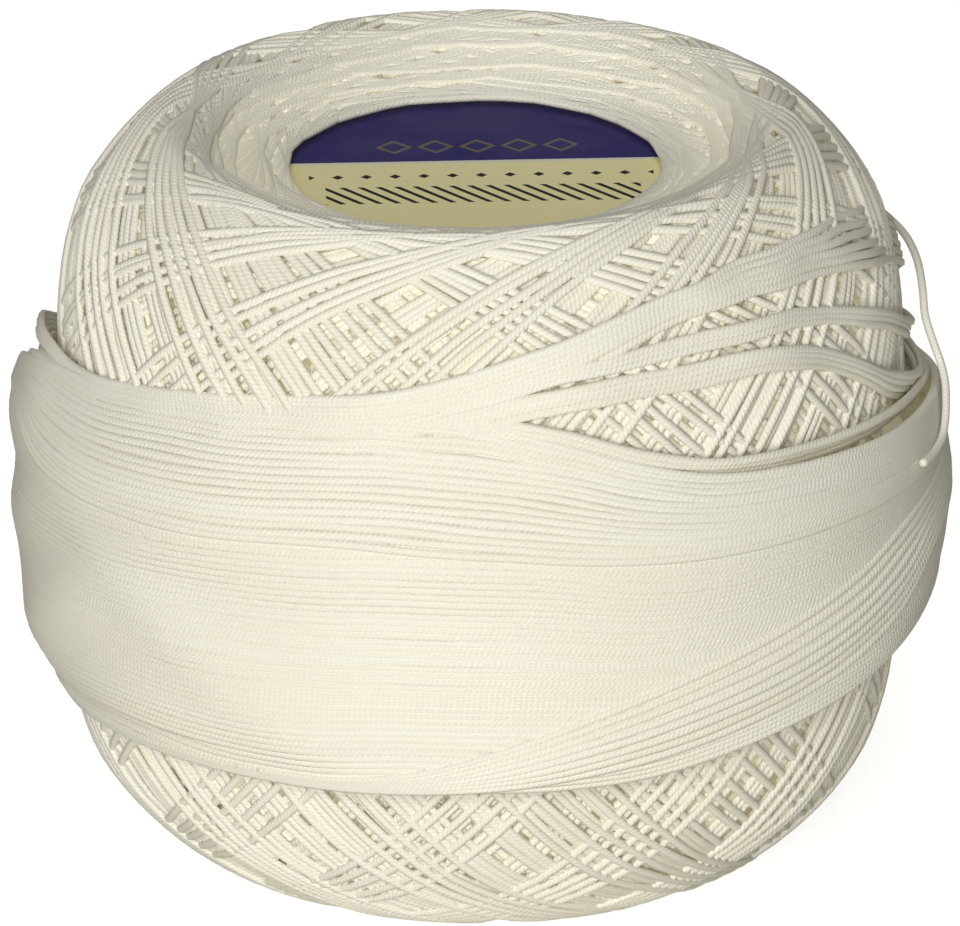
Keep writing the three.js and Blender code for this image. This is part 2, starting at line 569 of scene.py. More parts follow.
@dataclass
class Winder:
    """Lays turns over the height map.

    Attributes:
        thread: the thread's sizes.
        surface: the height map that the turns are laid on.
        growth: the forms that the crossing passes start on and fill.
        skin: the solid's surface, which the last turns keep to.
        samples: points along a turn.
        seed: seed of the winding's random numbers.
        grain: width of one sideways step.
        flank: steps from a thread's centreline to where its round top ends.
        mean_reach: a turn's usual distance from the centre.
        slip_price: height that the widest slip has to save, as a share of the thread's radius.
        slip_ease: spread that smooths the slips along a turn, in samples.
        steep_ease: spread that smooths a crossing turn's reach.
        level_ease: spread that smooths any other turn's reach.
        skin_play: how far those may pass the solid's surface.
        wall_steps: steps to the lower ground that shows a turn in a wall.
        turns: the turns laid so far.
    """

    thread: Thread
    surface: HeightMap
    growth: Growth
    skin: SolidSkin
    samples: int = 600
    seed: int = SEED
    grain: float = 0.07 * MM
    flank: int = 2
    mean_reach: float = 23 * MM
    slip_price: float = 0.06
    slip_ease: float = 5.0
    steep_ease: float = 1.5
    level_ease: float = 5.0
    skin_play: float = 0.06 * MM
    wall_steps: tuple[int, ...] = (-9, -7, -5, 5, 7, 9)
    turns: list[Turn] = field(default_factory=list)

    def __post_init__(self) -> None:
        """Seeds the random numbers."""
        self.rng = np.random.default_rng(self.seed)

    def section(self, side_steps: np.ndarray) -> np.ndarray:
        """Height of the thread's round top at steps to the side of its centreline."""
        off = side_steps * self.grain / self.thread.firm_half
        return self.thread.radius * np.sqrt(np.maximum(1 - off ** 2, 0))

    def smooth(self, values: np.ndarray, spread: float) -> np.ndarray:
        """Values along a closed loop, blurred with a bell curve of the given spread in samples."""
        wave = np.fft.rfftfreq(self.samples)
        bell = np.exp(-2 * (math.pi * wave * spread) ** 2)
        return np.fft.irfft(np.fft.rfft(values) * bell, self.samples)

    def pull_taut(self, course: Course, reach: np.ndarray) -> np.ndarray:
        """Lifts a loop off its hollows, as a taut thread spans them.

        A point is raised to the middle of the straight line between two points as far before
        and behind it, which lies at 2 a b cos(h) / (a + b) for their reaches a and b and half of
        the angle between them, h. Spans of many lengths are tried, three times over.

        Args:
            course: the way that the loop runs.
            reach: its distances from the centre.

        Returns:
            The taut loop's distances.
        """
        spans = (1, 2, 3, 5, 8, 12, 18, 27, 40, 60, 80)
        halves = []
        for span in spans:
            before, behind = np.roll(course.along, span, axis=0), np.roll(course.along, -span, axis=0)
            halves.append(np.sqrt((1 + (before * behind).sum(axis=1)) / 2))
        for _ in range(3):
            for span, half in zip(spans, halves):
                before, behind = np.roll(reach, span), np.roll(reach, -span)
                reach = np.maximum(reach, 2 * before * behind * half / (before + behind))
        return reach

    def lay(self, course: Course, slide: float, piece: str, stride: int, grown: float | None = None,
            stand: float = 0.0) -> None:
        """Lays one turn and raises the map to it.

        Args:
            course: the way that the turn runs.
            slide: how far it may slip sideways.
            piece: the piece that it belongs to.
            stride: samples to each ring of its tube.
            grown: share of the ball's growth, for a turn that is pressed to the growing form.
            stand: how far any other turn may stand out of the solid.
        """
        most = int(slide / self.grain)
        lanes = np.arange(-most - self.flank, most + self.flank + 1)
        ground = self.surface.read(course.heading(lanes[:, None] * self.grain / self.mean_reach))
        under = self.section(np.arange(-self.flank, self.flank + 1)) * self.thread.give
        seats = np.stack([
            (ground[lane : lane + len(under)] + under[:, None]).max(axis=0) for lane in range(2 * most + 1)
        ])
        slips = np.arange(-most, most + 1)
        price = seats + self.slip_price * self.thread.radius * np.abs(slips)[:, None] / max(most, 1)
        slip = self.smooth(slips[price.argmin(axis=0)].astype(float), self.slip_ease)
        nearest = np.clip(np.rint(slip).astype(int) + most, 0, 2 * most)
        reach = self.pull_taut(course, seats[nearest, np.arange(self.samples)])
        lift = slip * self.grain / self.mean_reach
        heading = course.heading(lift)
        ease = self.level_ease if grown is None else self.steep_ease
        if grown is None:
            limit = self.skin.reach(heading) - self.thread.radius + stand
            reach = squeeze(reach, limit, self.skin_play)
        else:
            reach = self.growth.press(reach, latitude_of(heading), grown)
        turn = Turn(course, self.smooth(reach, ease), lift, self.rng.random(), piece, stride)
        self.turns.append(turn)
        self.imprint(turn)

    def imprint(self, turn: Turn) -> None:
        """Raises the map to a turn's round top."""
        steps = np.arange(-self.flank, self.flank + 1)
        parts = 6
        share = (np.arange(parts) / parts)[:, None, None]
        heading = self.beside(turn, steps)
        top = turn.reach + self.section(steps)[:, None]
        between = heading + share[..., None] * (np.roll(heading, -1, axis=1) - heading)
        between /= np.linalg.norm(between, axis=-1)[..., None]
        self.surface.raise_to(between, top + share * (np.roll(top, -1, axis=1) - top))

    def beside(self, turn: Turn, steps: np.ndarray) -> np.ndarray:
        """Directions along a turn, at steps to the side of its centreline."""
        return turn.course.heading(turn.lift + steps[:, None] * self.grain / turn.reach)

    def centreline(self, turn: Turn) -> np.ndarray:
        """Points along a turn, from the ball's centre."""
        return turn.course.heading(turn.lift) * turn.reach[:, None]

    def shows(self, turn: Turn, spare: float) -> np.ndarray:
        """Tells which samples of a turn are not buried.

        A sample shows if the final surface lies no higher than the turn's own top, at its
        middle or at either flank, or if it stands in a wall beside lower ground.

        Args:
            turn: the turn.
            spare: how far the surface may lie above it.

        Returns:
            One truth value for each sample, with the neighbours of what shows, and more of them
            where the turn runs in under the band's edge.
        """
        steps = np.arange(-self.flank, self.flank + 1)
        cover = self.surface.read(self.beside(turn, steps))
        own = turn.reach + self.section(steps)[:, None]
        bare = (cover <= own + spare).any(axis=0)
        lower = self.surface.read(self.beside(turn, np.array(self.wall_steps)))
        bare |= (lower <= turn.reach - self.thread.diameter).any(axis=0)
        under_ledge = cover.max(axis=0) > turn.reach + 2 * self.thread.diameter
        everywhere, under_edge = 2, 5
        for step in range(everywhere + under_edge):
            spread = bare | np.roll(bare, 1) | np.roll(bare, -1)
            bare = spread if step < everywhere else bare | (spread & under_ledge)
        return bare


@dataclass
class TubeRuns:
    """Centreline stretches that are made into one mesh of tubes.

    Attributes:
        thread: the thread's sizes.
        centre: the ball's centre.
    """

    thread: Thread
    centre: np.ndarray
    points: list[np.ndarray] = field(default_factory=list)
    tones: list[float] = field(default_factory=list)
    depths: list[np.ndarray] = field(default_factory=list)

    def add(self, points: np.ndarray, tone: float, depth: np.ndarray) -> None:
        """Adds one stretch.

        Args:
            points: its centreline.
            tone: a number from 0 to 1 that tints it.
            depth: how deep each point lies, 0 for the ball's surface and 1 for 1.5 mm below it; it sets the
                painted glow.
        """
        self.points.append(points)
        self.tones.append(tone)
        self.depths.append(depth)

    def rings(self) -> tuple[np.ndarray, np.ndarray, np.ndarray]:
        """Works out every ring of every stretch.

        A ring's corners lie at centre + r (flat * cos a * outward + broad * sin a * sideways),
        where outward is the direction from the ball's centre made square to the thread.

        Returns:
            The ring corners, the length along the thread at each ring, and the ring counts.
        """
        counts = np.array([len(p) for p in self.points])
        line = np.concatenate(self.points)
        first = np.repeat(np.concatenate([[0], counts.cumsum()[:-1]]), counts)
        last = first + np.repeat(counts, counts) - 1
        here = np.arange(len(line))
        along = line[np.minimum(here + 1, last)] - line[np.maximum(here - 1, first)]
        along /= np.linalg.norm(along, axis=1)[:, None]
        outward = line - self.centre
        outward -= (outward * along).sum(axis=1)[:, None] * along
        outward /= np.linalg.norm(outward, axis=1)[:, None]
        sideways = np.cross(along, outward)
        turn = np.arange(self.thread.sides) * 2 * math.pi / self.thread.sides
        out, aside = self.thread.flat * np.cos(turn), self.thread.broad * np.sin(turn)
        ring = out[None, :, None] * outward[:, None] + aside[None, :, None] * sideways[:, None]
        steps = np.linalg.norm(np.diff(line, axis=0, prepend=line[:1]), axis=1)
        steps[here == first] = 0
        travelled = steps.cumsum()
        return line[:, None] + self.thread.radius * ring, travelled - travelled[first], counts

    def mesh(self, name: str) -> bpy.types.Mesh:
        """Makes the tubes, closed at both ends, with a UV map and a tone for each thread.

        The map's u runs along the thread in ply ridges, and its v once round the thread.

        Args:
            name: the mesh's name.

        Returns:
            The mesh.
        """
        corners, travelled, counts = self.rings()
        sides = self.thread.sides
        starts = np.concatenate([[0], counts.cumsum()[:-1]])
        here = np.arange(counts.sum())
        not_last = np.ones(len(here), bool)
        not_last[starts + counts - 1] = False
        ring = here[not_last][:, None]
        side = np.arange(sides)[None, :]
        beside = (side + 1) % sides
        quads = np.stack([
            ring * sides + side,
            ring * sides + beside,
            (ring + 1) * sides + beside,
            (ring + 1) * sides + side,
        ], axis=-1).reshape(-1, 4)
        u = travelled / self.thread.twist_pitch
        u = np.stack([u[ring], u[ring], u[ring + 1], u[ring + 1]], axis=-1)
        u = np.broadcast_to(u, (len(ring), sides, 4))
        v = np.stack([side, side + 1, side + 1, side], axis=-1) / sides
        v = np.broadcast_to(v, (len(ring), sides, 4))
        quad_uv = np.stack([u, v], axis=-1).reshape(-1, 2)
        front = starts[:, None] * sides + side[:, ::-1]
        back = (starts + counts - 1)[:, None] * sides + side
        caps = np.concatenate([front, back])
        cap_u = np.concatenate([travelled[starts], travelled[starts + counts - 1]])
        cap_uv = np.stack([
            np.broadcast_to((cap_u / self.thread.twist_pitch)[:, None], caps.shape),
            np.broadcast_to(side / sides, caps.shape),
        ], axis=-1).reshape(-1, 2)
        marks = {
            "tone": np.repeat(np.array(self.tones), counts * sides),
            "depth": np.repeat(np.clip(np.concatenate(self.depths), 0, 1), sides),
        }
        return mesh_of(name, corners.reshape(-1, 3), quads, caps, np.concatenate([quad_uv, cap_uv]), marks)


def mesh_of(
    name: str,
    points: np.ndarray,
    quads: np.ndarray,
    caps: np.ndarray | None = None,
    corner_uv: np.ndarray | None = None,
    marks: dict[str, np.ndarray] | None = None,
) -> bpy.types.Mesh:
    """Puts whole arrays into a mesh.

    Args:
        name: the mesh's name.
        points: corner places, one row each.
        quads: four corner numbers for each face.
        caps: corner numbers of further faces, all with as many corners.
        corner_uv: one UV pair for each face corner, quads first.
        marks: named lists of one number for each point.

    Returns:
        The mesh, smooth shaded.
    """
    faces = [quads] if caps is None else [quads, caps]
    loops = np.concatenate([f.ravel() for f in faces]).astype(np.int32)
    sizes = np.concatenate([np.full(len(f), f.shape[1]) for f in faces])
    mesh = bpy.data.meshes.new(name)
    mesh.vertices.add(len(points))
    mesh.vertices.foreach_set("co", np.ascontiguousarray(points, np.float32).ravel())
    mesh.loops.add(len(loops))
    mesh.loops.foreach_set("vertex_index", loops)
    mesh.polygons.add(len(sizes))
    mesh.polygons.foreach_set("loop_start", (sizes.cumsum() - sizes).astype(np.int32))
    mesh.polygons.foreach_set("use_smooth", np.ones(len(sizes), bool))
    mesh.update(calc_edges=True)
    if corner_uv is not None:
        layer = mesh.uv_layers.new(name="along_thread")
        layer.data.foreach_set("uv", np.ascontiguousarray(corner_uv, np.float32).ravel())
    for label, values in (marks or {}).items():
        layer = mesh.attributes.new(label, "FLOAT", "POINT")
        layer.data.foreach_set("value", np.ascontiguousarray(values, np.float32))
    mesh.validate()
    return mesh


def place(mesh: bpy.types.Mesh, material: bpy.types.Material) -> bpy.types.Object:
    """Puts a mesh into the scene at the origin, in its material."""
    piece = bpy.data.objects.new(mesh.name, mesh)
    bpy.context.scene.collection.objects.link(piece)
    mesh.materials.append(material)
    return piece


def revolve(name: str, radii: np.ndarray, heights: np.ndarray, columns: int) -> bpy.types.Mesh:
    """A closed form of revolution from a profile that starts and ends on the axis.

    Args:
        name: the mesh's name.
        radii: the profile's distances from the axis, the first and last of them 0.
        heights: the profile's heights, from the lowest pole to the highest.
        columns: faces round the axis.

    Returns:
        The mesh.
    """
    turn = np.arange(columns) * 2 * math.pi / columns
    inner_r, inner_z = radii[1:-1, None], heights[1:-1, None]
    rings = np.stack([
        inner_r * np.cos(turn), inner_r * np.sin(turn), np.broadcast_to(inner_z, (len(inner_r), columns))
    ], axis=-1)
    return capped_grid(name, rings, heights[0], heights[-1])


def capped_grid(name: str, rings: np.ndarray, low: float, high: float) -> bpy.types.Mesh:
    """A closed mesh of stacked rings with a pole on the axis at either end.

    Args:
        name: the mesh's name.
        rings: ring corners, as rows by columns by three, anticlockwise from above.
        low: height of the first pole.
        high: height of the last pole.

    Returns:
        The mesh.
    """
    rows, columns = rings.shape[:2]
    row = np.arange(rows - 1)[:, None]
    column = np.arange(columns)[None, :]
    beside = (column + 1) % columns
    quads = np.stack([
        row * columns + column, row * columns + beside,
        (row + 1) * columns + beside, (row + 1) * columns + column,
    ], axis=-1).reshape(-1, 4)
    points = np.concatenate([rings.reshape(-1, 3), [[0, 0, low], [0, 0, high]]])
    pole = rows * columns
    lower = np.stack([beside[0], column[0], np.full(columns, pole)], axis=-1)
    top = (rows - 1) * columns
    upper = np.stack([top + column[0], top + beside[0], np.full(columns, pole + 1)], axis=-1)
    return mesh_of(name, points, quads, np.concatenate([lower, upper]))


class NodeTree:
    """A short hand for building shader nodes."""

    def __init__(self, tree: bpy.types.NodeTree) -> None:
        """Takes the tree that the nodes go into."""
        self.tree = tree

    def feed(self, node: bpy.types.Node, inputs: dict) -> None:
        """Sets a node's inputs, by name or number, to values or to other nodes' outputs."""
        for key, value in inputs.items():
            if isinstance(value, bpy.types.NodeSocket):
                self.tree.links.new(value, node.inputs[key])
            else:
                node.inputs[key].default_value = value

    def add(self, kind: str, inputs: dict | None = None, **settings: object) -> bpy.types.Node:
        """Adds a node.

        Args:
            kind: the node's type name, without its leading ShaderNode.
            inputs: values or output sockets for its inputs, by name or number.
            settings: the node's own properties.

        Returns:
            The node.
        """
        node = self.tree.nodes.new("ShaderNode" + kind)
        for key, value in settings.items():
            setattr(node, key, value)
        self.feed(node, inputs or {})
        return node

    def math(self, operation: str, first: object, second: object = 0.0) -> bpy.types.NodeSocket:
        """Adds a math node and gives its output."""
        return self.add("Math", {0: first, 1: second}, operation=operation).outputs[0]

    def mix(self, factor: object, first: object, second: object) -> bpy.types.NodeSocket:
        """Adds a colour mix and gives its output."""
        return self.add("Mix", {0: factor, 6: first, 7: second}, data_type="RGBA").outputs[2]


def shader_group(
    name: str,
    inputs: Sequence[tuple[str, str, float]],
    outputs: Sequence[tuple[str, str]],
    fill: Callable[[NodeTree, bpy.types.Node, bpy.types.Node], None],
) -> bpy.types.NodeTree:
    """Builds a shader node group.

    Args:
        name: the group's name.
        inputs: name, socket type and default of each input.
        outputs: name and socket type of each output.
        fill: puts the nodes between the group's input and output nodes.

    Returns:
        The group.
    """
    group = bpy.data.node_groups.new(name, "ShaderNodeTree")
    for label, kind, default in inputs:
        socket = group.interface.new_socket(name=label, in_out="INPUT", socket_type=kind)
        if kind == "NodeSocketFloat":
            socket.default_value = default
    for label, kind in outputs:
        group.interface.new_socket(name=label, in_out="OUTPUT", socket_type=kind)
    fill(NodeTree(group), group.nodes.new("NodeGroupInput"), group.nodes.new("NodeGroupOutput"))
    return group


def ply_twist_group() -> bpy.types.NodeTree:
    """The ridges of the plies, from a UV map whose u counts ridges and whose v goes once round.

    The height is the size of a sine wave of u + plies * v, so that the ridges wind round the
    thread, and a fine noise roughens it like cotton fibres. The second output is a mask for the
    painted shade deep in the grooves between the ridges.
    """

    def fill(tree: NodeTree, source: bpy.types.Node, target: bpy.types.Node) -> None:
        parts = tree.add("SeparateXYZ", {0: source.outputs["Map"]})
        phase = tree.math("MULTIPLY", parts.outputs[1], source.outputs["Plies"])
        phase = tree.math("ADD", parts.outputs[0], phase)
        wave = tree.math("SINE", tree.math("MULTIPLY", phase, math.pi))
        ridge = tree.math("ABSOLUTE", wave)
        fibres = tree.add("TexNoise", {"Vector": source.outputs["Map"], "Scale": 3.0, "Detail": 1.0})
        rough = tree.math("MULTIPLY", fibres.outputs[0], source.outputs["Fibre"])
        # Mask for the painted shade: 1 deep in the grooves between the ridges, 0 on their tops.
        groove_shade = tree.math("POWER", tree.math("SUBTRACT", 1.0, ridge), 2.5)
        tree.feed(target, {"Height": tree.math("ADD", ridge, rough), "Groove shade": groove_shade})

    inputs = (
        ("Map", "NodeSocketVector", 0), ("Plies", "NodeSocketFloat", 3.0), ("Fibre", "NodeSocketFloat", 0.3),
    )
    outputs = (("Height", "NodeSocketFloat"), ("Groove shade", "NodeSocketFloat"))
    return shader_group("ply_twist", inputs, outputs, fill)


def uneven_tone_group() -> bpy.types.NodeTree:
    """Slow changes of tone over a piece, from a noise of its own coordinates."""

    def fill(tree: NodeTree, source: bpy.types.Node, target: bpy.types.Node) -> None:
        noise = tree.add("TexNoise", {"Vector": source.outputs["Place"], "Scale": source.outputs["Scale"],
                                      "Detail": 2.0})
        spread = tree.add("MapRange", {"Value": noise.outputs[0], "From Min": 0.32, "From Max": 0.68})
        tree.feed(target, {"Tone": spread.outputs[0]})

    inputs = (("Place", "NodeSocketVector", 0), ("Scale", "NodeSocketFloat", 60.0))
    return shader_group("uneven_tone", inputs, (("Tone", "NodeSocketFloat"),), fill)


@dataclass(frozen=True)
class CottonFinish:
    """Off-white mercerised cotton thread.

    Attributes:
        name: the material's name.
        light: colour of the lightest threads.
        warm: colour of the warmest ones.
        groove_shade: colour of the painted shade deep in the grooves between the plies.
        glow: colour of the painted glow that turns 1.5 mm below the surface give off, standing in for light
            that soaks through the cotton.
        roughness: roughness of the fibres.
        ridge_depth: height of the ply ridges.
    """

    name: str
    light: tuple[float, float, float, float] = (0.88, 0.855, 0.745, 1)
    warm: tuple[float, float, float, float] = (0.85, 0.81, 0.67, 1)
    groove_shade: tuple[float, float, float, float] = (0.72, 0.67, 0.50, 1)
    glow: tuple[float, float, float, float] = (0.28, 0.264, 0.183, 1)
    roughness: float = 0.62
    ridge_depth: float = 0.02 * MM

    def material(self, groups: dict[str, bpy.types.NodeTree]) -> bpy.types.Material:
        """Builds the material.

        Args:
            groups: the shared shader groups, by name.

        Returns:
            The material.
        """
        material, tree, shader = new_material(self.name)
        uv = tree.add("UVMap", uv_map="along_thread")
        place_at = tree.add("TexCoord")
        thread_tone = tree.add("Attribute", attribute_name="tone")
        depth = tree.add("Attribute", attribute_name="depth")
        twist = tree.add("Group", {"Map": uv.outputs[0]}, node_tree=groups["ply_twist"])
        tone = tree.add("Group", {"Place": place_at.outputs["Object"]}, node_tree=groups["uneven_tone"])
        both = tree.math("ADD", tree.math("MULTIPLY", thread_tone.outputs["Fac"], 0.55),
                         tree.math("MULTIPLY", tone.outputs[0], 0.45))
        colour = tree.mix(both, self.light, self.warm)
        # Painted shade: the colour darkens towards the groove shade colour deep between the ply ridges.
        colour = tree.mix(tree.math("MULTIPLY", twist.outputs["Groove shade"], 0.35), colour, self.groove_shade)
        bump = tree.add("Bump", {"Strength": 1.0, "Distance": self.ridge_depth,
                                 "Height": twist.outputs["Height"]})
        black = (0, 0, 0, 1)
        # Painted glow: the emission colour grows from black at the surface to the glow colour at depth 1, so
        # that turns seen in gaps light themselves.
        tree.feed(shader, {
            "Base Color": colour, "Normal": bump.outputs[0],
            "Emission Color": tree.mix(depth.outputs["Fac"], black, self.glow), "Emission Strength": 1.0,
            "Roughness": self.roughness, "Specular IOR Level": 0.35,
        })
        return material


@dataclass(frozen=True)
class InnerTurnsFinish:
    """The warm, shaded cotton of the hidden turns, seen only through gaps.

    Attributes:
        name: the material's name.
        light: its lightest colour.
        deep: its warmest colour.
        glow: colour of the painted glow that it gives off everywhere, standing in for light that soaks
            through to it.
        thread_width: width of one thread.
    """

    name: str = "inner_cotton"
    light: tuple[float, float, float, float] = (0.86, 0.83, 0.71, 1)
    deep: tuple[float, float, float, float] = (0.80, 0.76, 0.60, 1)
    glow: tuple[float, float, float, float] = (0.12, 0.113, 0.08, 1)
    thread_width: float = 0.42 * MM

    def material(self, groups: dict[str, bpy.types.NodeTree]) -> bpy.types.Material:
        """Builds the material: fine level bands of noise, like packed turns."""
        material, tree, shader = new_material(self.name)
        place_at = tree.add("TexCoord")
        squeezed = tree.add("Mapping", {"Vector": place_at.outputs["Object"], "Scale": (0.15, 0.15, 1.0)})
        strands = tree.add("TexNoise", {"Vector": squeezed.outputs[0], "Scale": 1 / (2 * self.thread_width),
                                        "Detail": 2.0})
        tone = tree.add("Group", {"Place": place_at.outputs["Object"]}, node_tree=groups["uneven_tone"])
        both = tree.math("MULTIPLY", strands.outputs[0], tone.outputs[0])
        bump = tree.add("Bump", {"Strength": 1.0, "Distance": 0.2 * MM, "Height": strands.outputs[0]})
        # Painted glow: the core gives off its glow colour all over, so that the gaps between the turns look
        # lit.
        tree.feed(shader, {
            "Base Color": tree.mix(both, self.light, self.deep), "Normal": bump.outputs[0],
            "Emission Color": self.glow, "Emission Strength": 1.0, "Roughness": 0.85,
        })
        return material


@dataclass(frozen=True)
class CardFinish:
    """The printed card: a deep violet-blue upper half, a pale line and a cream lower half.

    Attributes:
        name: the material's name.
        turned: how far the print is turned, anticlockwise from above.
        split: height of the pale line above the card's middle, on the card.
        violet: colour of the upper half.
        cream: colour of the lower half.
        pale: colour of the line between them.
        gold: colour of the chain.
        ink: colour of the small lozenges and the bars.
    """

    name: str = "printed_card"
    turned: float = 3.0
    split: float = 0.8 * MM
    violet: tuple[float, float, float, float] = (0.031, 0.025, 0.150, 1)
    cream: tuple[float, float, float, float] = (0.95, 0.87, 0.47, 1)
    pale: tuple[float, float, float, float] = (0.80, 0.78, 0.66, 1)
    gold: tuple[float, float, float, float] = (0.17, 0.14, 0.10, 1)
    ink: tuple[float, float, float, float] = (0.02, 0.018, 0.016, 1)

    def material(self, groups: dict[str, bpy.types.NodeTree]) -> bpy.types.Material:
        """Builds the print from masks on the card's own coordinates.

        The gold motif is a chain of lozenges, the ink motif a row of small lozenges over a
        border of slanting bars.

        Args:
            groups: the shared shader groups, by name.

        Returns:
            The material.
        """
        material, tree, shader = new_material(self.name)
        place_at = tree.add("TexCoord")
        turned = tree.add("Mapping", {"Vector": place_at.outputs["Object"],
                                      "Rotation": (0, 0, -math.radians(self.turned))})
        parts = tree.add("SeparateXYZ", {0: turned.outputs[0]})
        across, up = parts.outputs[0], parts.outputs[1]
        is_upper = tree.math("GREATER_THAN", up, self.split)
        is_line = self.window(tree, up, self.split, 0.16 * MM)
        whole, inside = (
            self.lozenges(tree, across, up, height=3.1 * MM, pitch=2.2 * MM, size=size, reach=5.3 * MM)
            for size in (2.0 * MM, 1.35 * MM)
        )
        gold = tree.math("SUBTRACT", whole, inside)
        ink = self.lozenges(tree, across, up, height=-1.2 * MM, pitch=1.5 * MM, size=0.62 * MM,
                            reach=9.0 * MM)
        bars = self.bars(tree, across, up)
        tone = tree.add("Group", {"Scale": 400.0, "Place": place_at.outputs["Object"]},
                        node_tree=groups["uneven_tone"])
        colour = tree.mix(is_upper, self.cream, self.violet)
        colour = tree.mix(is_line, colour, self.pale)
        colour = tree.mix(gold, colour, self.gold)
        colour = tree.mix(tree.math("MAXIMUM", ink, bars), colour, self.ink)
        worn = tree.math("MULTIPLY", tone.outputs[0], 0.02)
        colour = tree.mix(worn, colour, self.pale)
        bump = tree.add("Bump", {"Strength": 0.3, "Distance": 0.02 * MM, "Height": tone.outputs[0]})
        tree.feed(shader, {"Base Color": colour, "Normal": bump.outputs[0], "Roughness": 0.5,
                           "Specular IOR Level": 0.15})
        return material

    def window(self, tree: NodeTree, value: bpy.types.NodeSocket, middle: float, half: float) -> object:
        """A mask that is 1 where a value lies within half of middle."""
        off = tree.math("ABSOLUTE", tree.math("SUBTRACT", value, middle))
        return tree.math("LESS_THAN", off, half)

    def repeated(self, tree: NodeTree, across: object, pitch: float) -> bpy.types.NodeSocket:
        """Distance to the nearest of the middles that lie a pitch apart."""
        far_left = 100 * pitch
        return tree.math("PINGPONG", tree.math("ADD", across, far_left), pitch / 2)

    def lozenges(self, tree: NodeTree, across: object, up: object, height: float, pitch: float,
                 size: float, reach: float) -> object:
        """A row of lozenges: 1 where the distances to the nearest middle add up to under half a size."""
        wrapped = self.repeated(tree, across, pitch)
        rise = tree.math("ABSOLUTE", tree.math("SUBTRACT", up, height))
        inside = tree.math("LESS_THAN", tree.math("ADD", wrapped, rise), size / 2)
        return tree.math("MULTIPLY", inside, self.window(tree, across, 0.0, reach))

    def bars(self, tree: NodeTree, across: object, up: object) -> object:
        """A border of slanting bars, like a twisted cord, below the small lozenges."""
        pitch, half_bar, slant = 0.95 * MM, 0.17 * MM, 0.8
        slanting = tree.math("ADD", across, tree.math("MULTIPLY", up, slant))
        bar = tree.math("LESS_THAN", self.repeated(tree, slanting, pitch), half_bar)
        in_height = self.window(tree, up, middle=-3.9 * MM, half=1.2 * MM)
        in_width = self.window(tree, across, middle=0.0, half=8.2 * MM)
        return tree.math("MULTIPLY", bar, tree.math("MULTIPLY", in_height, in_width))


def new_material(name: str) -> tuple[bpy.types.Material, NodeTree, bpy.types.Node]:
    """An empty material, its tree and its shader.

    A faint glow that it is given, such as the painted glow of the cotton, isn't counted among the lamps,
    which would slow the render.
    """
    material = bpy.data.materials.new(name)
    material.use_nodes = True
    material.cycles.emission_sampling = "NONE"
    return material, NodeTree(material.node_tree), material.node_tree.nodes["Principled BSDF"]


